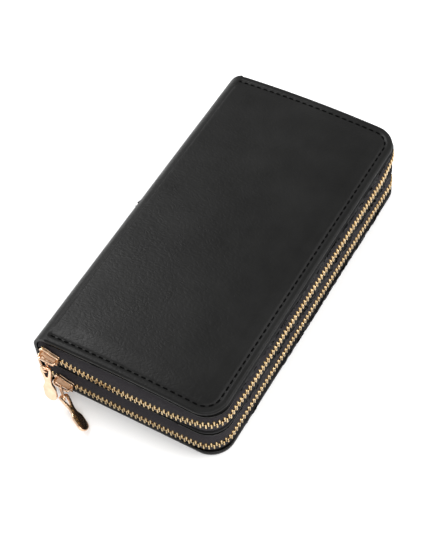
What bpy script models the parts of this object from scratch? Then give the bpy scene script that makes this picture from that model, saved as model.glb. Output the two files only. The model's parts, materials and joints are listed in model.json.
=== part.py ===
"""Long double zip around wallet: two padded covers and a divider, closed all round by two metal zips.

Metres, +Z up. The origin is the middle of the wallet's base rectangle, on the face that it rests on.
The spine runs along Y at -X, the zips run round the other three sides, and both sliders are parked
at the spine end of the side that faces -Y.
"""

import math

import bmesh
import bpy
import numpy as np
from mathutils import Matrix, Vector

MM = 0.001

# Driving dimensions
LENGTH = 195 * MM            # along the spine, Y
WIDTH = 103.5 * MM           # spine to opening side, X
HEIGHT = 40.7 * MM           # closed, Z
CORNER = 12.5 * MM           # plan radius of the two corners at the opening side
GAP = 0.3 * MM               # left between pieces that touch
LEATHER = 1.4 * MM
BOARD = 0.8 * MM
BOARD_INSET = 1.5 * MM       # the boards end inside the turned leather edge
LINING = 0.8 * MM
SPINE_LEATHER = 2.0 * MM
SPINE_BEND_WIDTH = 8 * MM    # how far in from the spine the cover starts to turn
LOWER_CHAIN = 10.2 * MM      # height of the lower zip's middle line
UPPER_CHAIN = 30.8 * MM      # height of the upper zip's middle line

# Zips
TAPE = 0.8 * MM              # woven tape thickness
TEETH_THICK = 2.6 * MM       # a tooth, through the tape
TEETH_GAP = 0.8 * MM         # middle line to the tooth tips, which leaves the slider's post its way
TEETH_TALL = 2.5 * MM
TOOTH_PITCH = 5 * MM
TOOTH_WIDE = 2.6 * MM
CORNER_STEPS = 8
SPINE_STEPS = 7
TOOTH_SHOULDER = 0.4         # share of a tooth's height where its shoulder lies

# Sliders, about the middle of the chain that they run on
SLIDER_LONG = 10.5 * MM
SLIDER_WIDE = 9.2 * MM
WING = 1.0 * MM
CHANNEL = 1.6 * MM           # middle plane to a wing's inner face
SLIT = 0.9 * MM              # middle plane to a flange
FLANGE = 0.6 * MM
POST_LONG = 2.0 * MM
POST_WIDE = 1.0 * MM
BRIDGE_BAR = 5.3 * MM        # middle plane to the middle of the bridge's bar
BRIDGE_THICK = 0.8 * MM
BRIDGE_WIDE = 1.3 * MM
BRIDGE_LEG = 1.0 * MM
BRIDGE_HALF = 5.0 * MM
UPPER_SLIDER_X = -41.5 * MM
LOWER_SLIDER_X = -36.5 * MM

# Links and pullers
LINK_WIRE = 0.45 * MM        # radius
LINK_BEND = 1.75 * MM        # radius of the wire's middle line at both ends
LINK_REACH = 4.83 * MM       # between the middles of the two ends
UPPER_LINK_ON_BAR = -2.2 * MM # along the bridge, from its middle
LOWER_LINK_ON_BAR = -0.1 * MM
PULLER_LONG = 20.4 * MM      # from the middle of the eye's bar to the tip
PULLER_THICK = 1.4 * MM
PULLER_EYE_HALF = 3.3 * MM
PULLER_WAIST_HALF = 1.9 * MM
PULLER_BULB_HALF = 3.65 * MM
EYE_BAR_HALF = 0.5 * MM
EYE_LONG = 5.0 * MM
EYE_HALF = 1.9 * MM
EYE_TAPER = 0.3              # the eye's far end, as a share of its width at the bar
PULLER_SHOULDER = 0.7        # the width beside the bar, as a share of the eye end's
PULLER_WAIST_AT = 0.5        # shares of the puller's straight length
PULLER_SWELL = 0.28
PULLER_STEPS = 9
LINK_STEPS = 6
UPPER_LINK_WAY = (0.559, -0.348, -0.752)
UPPER_LINK_AXIS = (1.0, 0.0, 0.0)       # what the loop turns its opening towards
UPPER_PULLER_WAY = (0.17, -0.235, -0.957)
LOWER_LINK_WAY = (0.722, -0.602, -0.341)
LOWER_LINK_AXIS = (0.52, 0.84, -0.15)
LOWER_PULLER_WAY = (0.862, -0.392, -0.322)
UPPER_PULLER_ACROSS = (1.0, 0.0, 0.0)
LOWER_PULLER_ACROSS = (0.129, 0.7825, -0.609)

# Inside
CONTENT_INSET = 5 * MM       # pockets stay this far inside the outline, clear of the sliders
CARD_STEP = 13 * MM
CARD_PANELS = 3
COIN_HALF_LENGTH = 80 * MM
COIN_ZIP_X = 20 * MM
COIN_TAPE_WIDE = 22 * MM
COIN_TEETH_WIDE = 3 * MM
COIN_TEETH_TALL = 1.2 * MM
COIN_SLIDER_LONG = 7 * MM
COIN_SLIDER_WIDE = 6 * MM
COIN_SLIDER_WALL = 0.8 * MM
COIN_SLIDER_TALL = 2.3 * MM
COIN_PULLER_LONG = 14 * MM
COIN_PULLER_WIDE = 4 * MM
COIN_PULLER_THICK = 0.8 * MM
STOP_LONG = 1.4 * MM
STOP_THICK = 1.5 * MM        # thin enough to pass between the flanges when the zip opens

# Heights of the layers
BOTTOM_BOARD_Z = LEATHER + GAP
BOTTOM_LINING_Z = BOTTOM_BOARD_Z + BOARD + GAP
BOTTOM_TOP_Z = BOTTOM_LINING_Z + LINING
TOP_LEATHER_Z = HEIGHT - LEATHER
TOP_BOARD_Z = TOP_LEATHER_Z - GAP - BOARD
TOP_LINING_Z = TOP_BOARD_Z - GAP - LINING
DIVIDER_MIDDLE = (LOWER_CHAIN + UPPER_CHAIN) / 2
DIVIDER_BOARD_Z = DIVIDER_MIDDLE - BOARD / 2
DIVIDER_UPPER_Z = DIVIDER_BOARD_Z + BOARD + GAP
DIVIDER_LOWER_Z = DIVIDER_BOARD_Z - GAP - LINING

SPINE_X = -WIDTH / 2
OPEN_X = WIDTH / 2
NEAR_Y = -LENGTH / 2
COVER_X = SPINE_X + SPINE_BEND_WIDTH + GAP
BOARD_X = COVER_X + 4 * GAP   # clear of the spine leather, which is thicker than the cover
INNER_X = SPINE_X + SPINE_LEATHER + 2 * GAP
TAPE_X = SPINE_X + 5 * MM     # clear of the inside of the spine's bends
TEETH_X = UPPER_SLIDER_X + SLIDER_LONG / 2 + GAP


def clear_scene():
    for thing in list(bpy.data.objects):
        bpy.data.objects.remove(thing, do_unlink=True)


def new_collection(name):
    made = bpy.data.collections.new(name)
    bpy.context.scene.collection.children.link(made)
    return made


def material(name, color, roughness, metallic=0.0):
    made = bpy.data.materials.new(name)
    made.use_nodes = True
    shader = made.node_tree.nodes["Principled BSDF"]
    shader.inputs["Base Color"].default_value = (*color, 1)
    shader.inputs["Roughness"].default_value = roughness
    shader.inputs["Metallic"].default_value = metallic
    made.diffuse_color = (*color, 1)
    return made


def add(name, data, finish, place=(0, 0, 0), parent=None):
    """Put a piece in the wallet's collection. With a parent, its place is measured from it."""
    made = bpy.data.objects.new(name, data)
    wallet.objects.link(made)
    made.location = place
    made.parent = parent
    if not data.materials:
        data.materials.append(finish)
    return made


def empty(name, place, parent=None):
    made = bpy.data.objects.new(name, None)
    wallet.objects.link(made)
    made.location = Vector(place) - (Vector(parent["at"]) if parent else Vector())
    made["at"] = tuple(place)
    made.parent = parent
    return made


def solidify(thing, thickness, offset):
    shell = thing.modifiers.new("thickness", "SOLIDIFY")
    shell.thickness = thickness
    shell.offset = offset
    shell.use_even_offset = True


def arc(center, radius, start, end, steps):
    return [
        (center[0] + radius * math.cos(a), center[1] + radius * math.sin(a))
        for a in np.radians(np.linspace(start, end, steps + 1))
    ]


def open_side_path(inset, near_x, far_x):
    """From the spine along the near side, round the opening side, and back along the far side."""
    radius = CORNER - inset
    middle_x = OPEN_X - CORNER
    middle_y = -NEAR_Y - CORNER
    near = arc((middle_x, -middle_y), radius, -90, 0, CORNER_STEPS)
    far = arc((middle_x, middle_y), radius, 0, 90, CORNER_STEPS)
    return [(near_x, NEAR_Y + inset)] + near + far + [(far_x, -NEAR_Y - inset)]


def outline_data(name, outlines, thickness):
    """A flat shape with any holes, as thick as stated, about its own middle plane."""
    data = bpy.data.curves.new(name, "CURVE")
    data.dimensions = "2D"
    data.fill_mode = "BOTH"
    data.extrude = thickness / 2
    for outline in outlines:
        spline = data.splines.new("POLY")
        spline.points.add(len(outline) - 1)
        spline.use_cyclic_u = True
        for point, (x, y) in zip(spline.points, outline):
            point.co = (x, y, 0, 1)
    return data


def plate(name, finish, outline, low, thickness, body):
    """A sheet lying flat, its lower face at the height low."""
    data = outline_data(name, [outline], thickness)
    middle = Vector((0, 0, low + thickness / 2)) - Vector(body["at"])
    return add(name, data, finish, middle, body)


def rectangle(x0, x1, half_y):
    return [(x0, -half_y), (x1, -half_y), (x1, half_y), (x0, half_y)]


def box(name, finish, low, high, body):
    low = Vector(low)
    size = Vector(high) - low
    mesh = bpy.data.meshes.new(name)
    form = bmesh.new()
    bmesh.ops.create_cube(form, size=1, matrix=Matrix.Diagonal((*size, 1)))
    form.to_mesh(mesh)
    form.free()
    return add(name, mesh, finish, low + size / 2 - Vector(body["at"]), body)


def grid_mesh(name, rows):
    """An open surface through rows of points, each row as long as the next."""
    mesh = bpy.data.meshes.new(name)
    form = bmesh.new()
    verts = [[form.verts.new(p) for p in row] for row in rows]
    for one, two in zip(verts, verts[1:]):
        for k in range(len(one) - 1):
            form.faces.new((one[k], one[k + 1], two[k + 1], two[k]))
    form.to_mesh(mesh)
    form.free()
    return mesh


def spine_profile():
    """The outer leather's section, from the base up round the spine to the top."""
    bend_x = SPINE_X + SPINE_BEND_WIDTH
    steps = np.radians(np.linspace(0, 90, SPINE_STEPS))
    low_tall = LOWER_CHAIN - GAP
    high_tall = HEIGHT - UPPER_CHAIN - GAP
    low = [
        (bend_x - SPINE_BEND_WIDTH * math.sin(a), low_tall * (1 - math.cos(a))) for a in steps
    ]
    high = [
        (bend_x - SPINE_BEND_WIDTH * math.cos(a), HEIGHT - high_tall * (1 - math.sin(a)))
        for a in steps
    ]
    middle = [(SPINE_X, LOWER_CHAIN + GAP), (SPINE_X, UPPER_CHAIN - GAP)]
    return low, middle, high


def spine_part(name, section, finish, body):
    at = Vector(body["at"])
    rows = [[Vector((x, y, z)) - at for x, z in section] for y in (NEAR_Y, -NEAR_Y)]
    made = add(name, grid_mesh(name, rows), finish, parent=body)
    solidify(made, SPINE_LEATHER, -1)
    return made


def along(path, distance):
    """The point that lies this far along a path."""
    for (x0, y0), (x1, y1) in zip(path, path[1:]):
        step = math.hypot(x1 - x0, y1 - y0)
        if distance <= step:
            share = distance / step
            return x0 + (x1 - x0) * share, y0 + (y1 - y0) * share
        distance -= step
    return path[-1]


def tape(name, finish, low, high, body):
    """One half of a zip's woven tape, standing on edge round the three open sides."""
    outer = open_side_path(-TAPE / 2, TAPE_X, TAPE_X)
    inner = open_side_path(TAPE / 2, TAPE_X, TAPE_X)
    return plate(name, finish, outer + inner[::-1], low, high - low, body)


def teeth_row(name, finish, root, tip, body):
    """A row of teeth on the tape's edge, from the height of its root to that of its tips."""
    at = Vector(body["at"])
    path = open_side_path(0, TEETH_X, TAPE_X)
    total = sum(math.dist(a, b) for a, b in zip(path, path[1:]))
    shoulder = root + (tip - root) * TOOTH_SHOULDER
    mesh = bpy.data.meshes.new(name)
    form = bmesh.new()

    def pillar(distance):
        x, y = along(path, distance)
        return [form.verts.new(Vector((x, y, z)) - at) for z in (root, shoulder, tip)]

    last = None
    for k in range(int(total / TOOTH_PITCH)):
        start = pillar(k * TOOTH_PITCH)
        end = pillar(k * TOOTH_PITCH + TOOTH_WIDE)
        if last:
            form.faces.new((last[0], start[0], start[1], last[1]))
        form.faces.new((start[0], end[0], end[1], start[1]))
        form.faces.new((start[1], end[1], end[2], start[2]))
        last = end
    for vert in [v for v in form.verts if not v.link_faces]:
        form.verts.remove(vert)
    form.to_mesh(mesh)
    form.free()
    made = add(name, mesh, finish, parent=body)
    solidify(made, TEETH_THICK, 0)
    return made


def stop(name, finish, low, body):
    """The small metal clamp at the end of one tape, which keeps the slider on."""
    x = TAPE_X + GAP
    size = Vector((STOP_LONG, STOP_THICK, TEETH_TALL))
    corner = Vector((x, NEAR_Y - STOP_THICK / 2, low))
    return box(name, finish, corner, corner + size, body)


def slider_blocks():
    """Low and high corners of the slider's blocks. -Y faces out, and the open end is at +X."""
    long, wide = SLIDER_LONG / 2, SLIDER_WIDE / 2
    back = BRIDGE_BAR - BRIDGE_THICK / 2
    bar_in, bar_out = -back, -back - BRIDGE_THICK
    blocks = [((-long, -CHANNEL, -POST_WIDE / 2), (-long + POST_LONG, CHANNEL, POST_WIDE / 2))]
    for side in (-1, 1):
        wing = sorted((side * CHANNEL, side * (CHANNEL + WING)))
        blocks.append(((-long, wing[0], -wide), (long, wing[1], wide)))
        lip = sorted((side * SLIT, side * (CHANNEL + WING / 2)))
        for edge in (-wide, wide - FLANGE):
            blocks.append(((-long, lip[0], edge), (long, lip[1], edge + FLANGE)))
    half = BRIDGE_WIDE / 2
    for x in (-BRIDGE_HALF, BRIDGE_HALF - BRIDGE_LEG):
        blocks.append(((x, bar_out, -half), (x + BRIDGE_LEG, -CHANNEL - WING / 2, half)))
    inner_bar = (-BRIDGE_HALF + BRIDGE_LEG / 2, bar_out, -half)
    blocks.append((inner_bar, (BRIDGE_HALF - BRIDGE_LEG / 2, bar_in, half)))
    return blocks


def joined_blocks(name, blocks):
    """One mesh from overlapping blocks, joined by Boolean unions."""
    pieces = []
    for low, high in blocks:
        low = Vector(low)
        size = Vector(high) - low
        mesh = bpy.data.meshes.new(name)
        form = bmesh.new()
        place = Matrix.Translation(low + size / 2) @ Matrix.Diagonal((*size, 1))
        bmesh.ops.create_cube(form, size=1, matrix=place)
        form.to_mesh(mesh)
        form.free()
        piece = bpy.data.objects.new(name + "_block", mesh)
        cutters.objects.link(piece)
        pieces.append(piece)
    for other in pieces[1:]:
        union = pieces[0].modifiers.new("join", "BOOLEAN")
        union.operation = "UNION"
        union.solver = "EXACT"
        union.object = other
    bpy.context.view_layer.update()
    graph = bpy.context.evaluated_depsgraph_get()
    mesh = bpy.data.meshes.new_from_object(pieces[0].evaluated_get(graph))
    mesh.name = name
    for piece in pieces:
        bpy.data.objects.remove(piece, do_unlink=True)
    return mesh


def facing(way, across):
    """A rotation that lays local -Y along a way, with local X as near to across as it can be."""
    down = Vector(way).normalized()
    side = Vector(across)
    side = (side - down * side.dot(down)).normalized()
    out = side.cross(-down)
    return Matrix((side, -down, out)).transposed()


def link_data():
    """A wire loop in its own XY plane, from the bridge at the origin down to the eye's bar."""
    upper = arc((0, 0), LINK_BEND, 0, 180, LINK_STEPS)
    lower = arc((0, -LINK_REACH), LINK_BEND, 180, 360, LINK_STEPS)
    data = bpy.data.curves.new("link", "CURVE")
    data.dimensions = "3D"
    data.bevel_depth = LINK_WIRE
    data.bevel_resolution = 1
    spline = data.splines.new("POLY")
    points = upper + lower
    spline.points.add(len(points) - 1)
    spline.use_cyclic_u = True
    for point, (x, y) in zip(spline.points, points):
        point.co = (x, y, 0, 1)
    return data


def smooth(share):
    return share * share * (3 - 2 * share)


def puller_half(share):
    """Half the puller's width at a share of its length: broad eye, narrow waist, round bulb."""
    if share < PULLER_WAIST_AT:
        narrowed = smooth(share / PULLER_WAIST_AT)
        return PULLER_EYE_HALF + (PULLER_WAIST_HALF - PULLER_EYE_HALF) * narrowed
    swell = smooth(min(1, (share - PULLER_WAIST_AT) / PULLER_SWELL))
    return PULLER_WAIST_HALF + (PULLER_BULB_HALF - PULLER_WAIST_HALF) * swell


def puller_data():
    """A bone-shaped tab with an eye, the middle of the eye's bar at its origin, the tip at -Y."""
    top = EYE_BAR_HALF
    straight = PULLER_LONG - PULLER_BULB_HALF
    shares = np.linspace(0, 1, PULLER_STEPS)
    side = [(puller_half(s), -straight * s) for s in shares]
    tip = arc((0, -straight), PULLER_BULB_HALF, 0, -180, CORNER_STEPS)[1:-1]
    shoulder = [(PULLER_EYE_HALF * PULLER_SHOULDER, top)]
    right = shoulder + side
    left = [(-x, y) for x, y in right[::-1]]
    low = -EYE_BAR_HALF - EYE_LONG
    end_half = EYE_HALF * EYE_TAPER
    eye = [
        (-EYE_HALF, -EYE_BAR_HALF), (EYE_HALF, -EYE_BAR_HALF), (end_half, low), (-end_half, low),
    ]
    return outline_data("puller", [right + tip + left, eye], PULLER_THICK)


def slider_set(prefix, mesh, middle, on_bar, ways, body):
    """A slider with its link and puller, each turning on its own axis."""
    link_way, link_axis_way, puller_way, puller_across = [Vector(way).normalized() for way in ways]
    slides = empty(prefix + "_slider_axis", middle, body)
    add(prefix + "_zip_slider", mesh, zip_metal, parent=slides)
    bar = Vector(middle) + Vector((on_bar, -BRIDGE_BAR, 0))
    link_axis = empty(prefix + "_link_axis", bar, slides)
    link = add(prefix + "_puller_link", link_data(), zip_metal, parent=link_axis)
    link.rotation_euler = facing(link_way, link_way.cross(link_axis_way)).to_euler()
    eye = bar + link_way * LINK_REACH
    puller_axis = empty(prefix + "_puller_axis", eye, link_axis)
    puller = add(prefix + "_puller", puller_data(), zip_metal, parent=puller_axis)
    puller.rotation_euler = facing(puller_way, puller_across).to_euler()


def card_panels(prefix, low, rise, body):
    """Stepped card pockets, each shorter than the one behind it so that the card tops show."""
    for k in range(CARD_PANELS):
        reach = OPEN_X - CONTENT_INSET - (k + 1) * CARD_STEP
        shape = rectangle(COVER_X, reach, -NEAR_Y - CONTENT_INSET)
        z = low + rise * k * (LINING + GAP)
        plate(f"{prefix}_card_panel_{k + 1}", lining_leather, shape, z, LINING, body)


def coin_pocket(body):
    """A flat pocket stitched on the divider, closed by a straight zip along Y."""
    low = DIVIDER_UPPER_Z + LINING + GAP
    half_tape = COIN_TAPE_WIDE / 2
    tape_x0, tape_x1 = COIN_ZIP_X - half_tape, COIN_ZIP_X + half_tape
    edge = OPEN_X - CONTENT_INSET - GAP
    half = COIN_HALF_LENGTH
    back = rectangle(COVER_X, tape_x0 - GAP, half)
    front = rectangle(tape_x1 + GAP, edge, half)
    plate("coin_pocket_back", lining_leather, back, low, LINING, body)
    plate("coin_pocket_front", lining_leather, front, low, LINING, body)
    plate("coin_zip_tape", tape_weave, rectangle(tape_x0, tape_x1, half), low, LINING, body)
    teeth_low = low + LINING + GAP
    half_teeth = COIN_TEETH_WIDE / 2
    teeth = rectangle(COIN_ZIP_X - half_teeth, COIN_ZIP_X + half_teeth, half - GAP)
    plate("coin_zip_teeth", teeth_metal, teeth, teeth_low, COIN_TEETH_TALL, body)
    coin_slider(teeth_low, body)


def coin_slider(low, body):
    """A small arched slider over the coin zip's teeth, with a short tab lying on it."""
    y = -COIN_HALF_LENGTH + COIN_SLIDER_LONG
    slides = empty("coin_slider_axis", (COIN_ZIP_X, y, low), body)
    long, wide, tall = COIN_SLIDER_LONG / 2, COIN_SLIDER_WIDE / 2, COIN_SLIDER_TALL
    wall = COIN_SLIDER_WALL
    blocks = [((-wide, -long, tall - wall), (wide, long, tall))]
    for x in (-wide, wide - wall):
        blocks.append(((x, -long, 0), (x + wall, long, tall - wall / 2)))
    mesh = joined_blocks("coin_zip_slider", blocks)
    add("coin_zip_slider", mesh, zip_metal, parent=slides)
    top = low + tall + GAP
    half = COIN_PULLER_WIDE / 2
    start = (COIN_ZIP_X - half, y, top)
    end = (COIN_ZIP_X + half, y + COIN_PULLER_LONG, top + COIN_PULLER_THICK)
    axis = empty("coin_puller_axis", (COIN_ZIP_X, y, top + COIN_PULLER_THICK / 2), slides)
    box("coin_zip_puller", zip_metal, start, end, axis)


def zip_halves(prefix, chain, low, high, lower_body, upper_body):
    """Both tapes, both rows of teeth and both stops of one zip."""
    tip, root = TEETH_GAP, TEETH_GAP + TEETH_TALL
    edge = root + GAP
    tape(f"{prefix}_zip_lower_tape", tape_weave, low, chain - edge, lower_body)
    tape(f"{prefix}_zip_upper_tape", tape_weave, chain + edge, high, upper_body)
    teeth_row(f"{prefix}_zip_lower_teeth", teeth_metal, chain - root, chain - tip, lower_body)
    teeth_row(f"{prefix}_zip_upper_teeth", teeth_metal, chain + root, chain + tip, upper_body)
    stop(f"{prefix}_zip_lower_stop", teeth_metal, chain - root, lower_body)
    stop(f"{prefix}_zip_upper_stop", teeth_metal, chain + tip, upper_body)


def cover(prefix, leather_z, board_z, lining_z, body):
    outer = open_side_path(0, COVER_X, COVER_X)
    inner = open_side_path(BOARD_INSET, BOARD_X, BOARD_X)
    plate(f"{prefix}_cover_leather", leather, outer, leather_z, LEATHER, body)
    plate(f"{prefix}_cover_board", board, inner, board_z, BOARD, body)
    plate(f"{prefix}_cover_lining", lining_leather, outer, lining_z, LINING, body)


def divider_layers(body):
    """A board between two linings, with the note pocket's panel below."""
    outer = open_side_path(0, INNER_X, INNER_X)
    inner = open_side_path(BOARD_INSET, INNER_X, INNER_X)
    note = rectangle(COVER_X, OPEN_X - CONTENT_INSET - CARD_STEP, -NEAR_Y - CONTENT_INSET)
    plate("divider_board", board, inner, DIVIDER_BOARD_Z, BOARD, body)
    plate("divider_upper_lining", lining_leather, outer, DIVIDER_UPPER_Z, LINING, body)
    plate("divider_lower_lining", lining_leather, outer, DIVIDER_LOWER_Z, LINING, body)
    plate("note_pocket_panel", lining_leather, note, DIVIDER_LOWER_Z - GAP - LINING, LINING, body)


clear_scene()
wallet = new_collection("double_zip_around_wallet")
cutters = new_collection("cutters")
leather = material("leather", (0.018, 0.018, 0.019), 0.42)
lining_leather = material("lining_leather", (0.03, 0.03, 0.032), 0.55)
board = material("board", (0.35, 0.32, 0.27), 0.9)
tape_weave = material("tape_weave", (0.035, 0.032, 0.038), 0.85)
teeth_metal = material("teeth_metal", (0.72, 0.56, 0.33), 0.3, 1)
zip_metal = material("zip_metal", (0.86, 0.62, 0.45), 0.2, 1)

base = empty("base", (0, 0, 0))
divider = empty("lower_opening_axis", (SPINE_X, 0, LOWER_CHAIN), base)
lid = empty("upper_opening_axis", (SPINE_X, 0, UPPER_CHAIN), divider)

cover("bottom", 0, BOTTOM_BOARD_Z, BOTTOM_LINING_Z, base)
cover("top", TOP_LEATHER_Z, TOP_BOARD_Z, TOP_LINING_Z, lid)
low_bend, flat, high_bend = spine_profile()
spine_part("spine_bottom", low_bend, leather, base)
spine_part("spine_middle", flat, leather, divider)
spine_part("spine_top", high_bend, leather, lid)
divider_layers(divider)
coin_pocket(divider)
card_panels("lower", BOTTOM_TOP_Z + GAP, 1, base)
card_panels("upper", TOP_LINING_Z - GAP - LINING, -1, lid)

zip_halves("lower", LOWER_CHAIN, BOTTOM_TOP_Z + GAP, DIVIDER_LOWER_Z - GAP, base, divider)
zip_halves("upper", UPPER_CHAIN, DIVIDER_UPPER_Z + LINING + GAP, TOP_LINING_Z - GAP, divider, lid)

slider_mesh = joined_blocks("slider", slider_blocks())
slider_set(
    "lower",
    slider_mesh,
    (LOWER_SLIDER_X, NEAR_Y, LOWER_CHAIN),
    LOWER_LINK_ON_BAR,
    (LOWER_LINK_WAY, LOWER_LINK_AXIS, LOWER_PULLER_WAY, LOWER_PULLER_ACROSS),
    base,
)
slider_set(
    "upper",
    slider_mesh,
    (UPPER_SLIDER_X, NEAR_Y, UPPER_CHAIN),
    UPPER_LINK_ON_BAR,
    (UPPER_LINK_WAY, UPPER_LINK_AXIS, UPPER_PULLER_WAY, UPPER_PULLER_ACROSS),
    divider,
)
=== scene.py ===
"""The looks of a double zip around wallet: padded leather covers, woven tapes, metal zips, fittings."""

import json
import math

import bmesh
import bpy
import numpy as np
from mathutils import Matrix, Vector


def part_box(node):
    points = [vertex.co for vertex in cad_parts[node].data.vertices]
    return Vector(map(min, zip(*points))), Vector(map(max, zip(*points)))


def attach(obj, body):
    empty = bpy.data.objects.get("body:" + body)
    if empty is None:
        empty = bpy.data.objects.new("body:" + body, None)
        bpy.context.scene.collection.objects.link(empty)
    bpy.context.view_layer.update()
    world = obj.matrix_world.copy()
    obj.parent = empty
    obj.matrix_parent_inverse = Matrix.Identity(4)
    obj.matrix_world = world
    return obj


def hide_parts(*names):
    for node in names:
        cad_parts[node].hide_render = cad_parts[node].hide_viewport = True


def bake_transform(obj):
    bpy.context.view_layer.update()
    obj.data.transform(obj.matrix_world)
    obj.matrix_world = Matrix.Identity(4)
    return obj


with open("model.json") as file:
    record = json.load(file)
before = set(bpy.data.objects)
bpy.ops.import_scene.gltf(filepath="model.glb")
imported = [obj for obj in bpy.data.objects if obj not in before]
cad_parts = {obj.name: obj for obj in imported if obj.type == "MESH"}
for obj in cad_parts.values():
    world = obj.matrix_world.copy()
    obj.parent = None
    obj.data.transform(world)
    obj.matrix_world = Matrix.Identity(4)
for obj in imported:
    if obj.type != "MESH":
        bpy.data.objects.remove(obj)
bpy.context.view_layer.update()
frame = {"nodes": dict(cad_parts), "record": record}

MM = 0.001
CORNER = 12.5 * MM
CORNER_STEPS = 36
SPINE_BEND = 8 * MM

# From the frame
TOP_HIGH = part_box("top_cover_leather")[1]
SPINE_LOW, SPINE_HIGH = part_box("spine_middle")
OPEN_X = TOP_HIGH[0]
FAR_Y = TOP_HIGH[1]
NEAR_Y = -FAR_Y
HEIGHT = TOP_HIGH[2]
SPINE_X = SPINE_LOW[0]
LOWER_CHAIN = SPINE_LOW[2] - 0.3 * MM
UPPER_CHAIN = SPINE_HIGH[2] + 0.3 * MM
SPINE_MIDDLE = (LOWER_CHAIN + UPPER_CHAIN) / 2

# Zip teeth
PITCH = 2.5 * MM
TOOTH_THICK = 1.7 * MM
TEETH_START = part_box("upper_zip_upper_teeth")[0][0]
TAPE_THICK = 0.7 * MM
TAPE_TUCK = 1.6 * MM        # how far inside the outline a tape's root lies
TAPE_EDGE = 1.0 * MM        # from a chain's middle to the tape's edge under the teeth
TAPE_RIPPLE = 0.12 * MM
TAPE_START = SPINE_X + 3 * MM
TEETH_PATH_START = SPINE_X + 5 * MM
HERRINGBONE_WIDE = 0.0011
HERRINGBONE_SLANT = 1.3
RIB_PITCH = 0.00062
THREAD_PITCH = 0.00037

# A zip's middle line: how far it stands out of the outline, in millimetres, and how far it drops
UPPER_BELLY_DOWN = 2.6 * MM
UPPER_BELLY_OUT = 1.6
UPPER_OUT_ROUND_CORNERS = 0.4
UPPER_OUT_ON_LONG_SIDE = 0.6
UPPER_HELD_AT_FAR_END = 1.0
LOWER_BELLY_DOWN = 0.2 * MM
LOWER_BELLY_OUT = 0.8
LOWER_IN_ROUND_CORNERS = 0.7
BELLY_FULLNESS = 0.55       # below 1, the belly keeps its depth for longer

# Covers
STITCH_INSET = 4.2 * MM
STITCH_PITCH = 4.0 * MM
STITCH_LONG = 2.9 * MM
THREAD_RADIUS = 0.42 * MM
THREAD_SIDES = 8
GROOVE_DEEP = 0.5 * MM
GROOVE_WIDE = 0.9 * MM
INNER_RISE = 9 * MM         # the face swells over this distance inside the groove
BAND_DROP = 0.25 * MM       # the step down inside the turned edge
BAND_WIDE = 2.6 * MM
BAND_STEP = 2 * MM
TOP_PUFF = 0.9 * MM
BASE_PUFF = 0.15 * MM
TOP_SKIN_DEEP = 1.8 * MM    # how far the turned edge comes down
BASE_SKIN_DEEP = 2.6 * MM
FLOOR_GAP = 0.2 * MM
CORNER_ROWS = 34
LONG_ROWS = 130
SPINE_STEPS = 8
BEND_STEPS = 22
FINE_FROM = 0.86            # beyond this share of its width the face is divided more finely
COARSE_STEPS = 70
FINE_STEPS = 46
SKIN_THICK = 0.8 * MM
SPINE_END_TURN = 1.6 * MM   # how far the leather turns in at the spine's ends
TURN_STEPS = (0.45, 0.8, 1.0)
CROWN_HIGH = 1.25
CROWN_FALL = 2.0
CROWN_MIDDLE = -2 * MM
CROWN_REACH = 48 * MM
FAR_ROUND_LONG = 11 * MM    # the rounded far end beside the spine: its reach and how deep it goes
FAR_ROUND_DEEP = 5 * MM
BOARD_UNDER_CROWN = 0.4 * MM
HELD_IN = 0.8 * MM          # how far the top cover stops short of the zips at the opening side
RIM = 1.3 * MM              # radius of the turned edge


def smooth(t):
    t = np.clip(t, 0, 1)
    return t * t * (3 - 2 * t)


# ---- materials ----

def new_material(name):
    made = bpy.data.materials.new(name)
    made.use_nodes = True
    tree = made.node_tree
    return made, tree, tree.nodes["Principled BSDF"]


def node(tree, kind, **values):
    made = tree.nodes.new(kind)
    for key, value in values.items():
        if hasattr(made, key):
            setattr(made, key, value)
        else:
            made.inputs[key.replace("_", " ")].default_value = value
    return made


def ramp(tree, source, low, high, start, end):
    """Maps a factor to a colour between two, from start to end."""
    made = tree.nodes.new("ShaderNodeValToRGB")
    first, last = made.color_ramp.elements
    first.position, last.position = start, end
    first.color, last.color = (*low, 1), (*high, 1)
    tree.links.new(source, made.inputs["Fac"])
    return made.outputs["Color"]


def scaled(tree, stretch=(1, 1, 1)):
    """The object's own coordinates, stretched."""
    place = tree.nodes.new("ShaderNodeTexCoord")
    mapping = tree.nodes.new("ShaderNodeMapping")
    mapping.inputs["Scale"].default_value = stretch
    tree.links.new(place.outputs["Object"], mapping.inputs["Vector"])
    return mapping.outputs["Vector"]


def bump_chain(tree, shader, heights):
    """Stacks bumps: (height socket, strength, distance) each on the one before."""
    last = None
    for height, strength, distance in heights:
        bump = node(tree, "ShaderNodeBump", Strength=strength, Distance=distance)
        tree.links.new(height, bump.inputs["Height"])
        if last:
            tree.links.new(last, bump.inputs["Normal"])
        last = bump.outputs["Normal"]
    tree.links.new(last, shader.inputs["Normal"])


def noise(tree, vector, scale, detail=4, rough=0.55):
    made = node(tree, "ShaderNodeTexNoise", Scale=scale, Detail=detail, Roughness=rough)
    tree.links.new(vector, made.inputs["Vector"])
    return made.outputs["Fac"]


def cells(tree, vector, scale):
    """Distance to the edges of a pattern of cells."""
    made = tree.nodes.new("ShaderNodeTexVoronoi")
    made.feature = "DISTANCE_TO_EDGE"
    made.inputs["Scale"].default_value = scale
    tree.links.new(vector, made.inputs["Vector"])
    return made.outputs["Distance"]


def warped(tree, vector, scale, amount):
    """A coordinate pushed about by noise, so that cells and folds run unevenly."""
    push = node(tree, "ShaderNodeTexNoise", Scale=scale, Detail=3)
    tree.links.new(vector, push.inputs["Vector"])
    away = node(tree, "ShaderNodeVectorMath", operation="SCALE", Scale=amount)
    tree.links.new(push.outputs["Color"], away.inputs[0])
    total = node(tree, "ShaderNodeVectorMath", operation="ADD")
    tree.links.new(vector, total.inputs[0])
    tree.links.new(away.outputs[0], total.inputs[1])
    return total.outputs[0]


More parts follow.
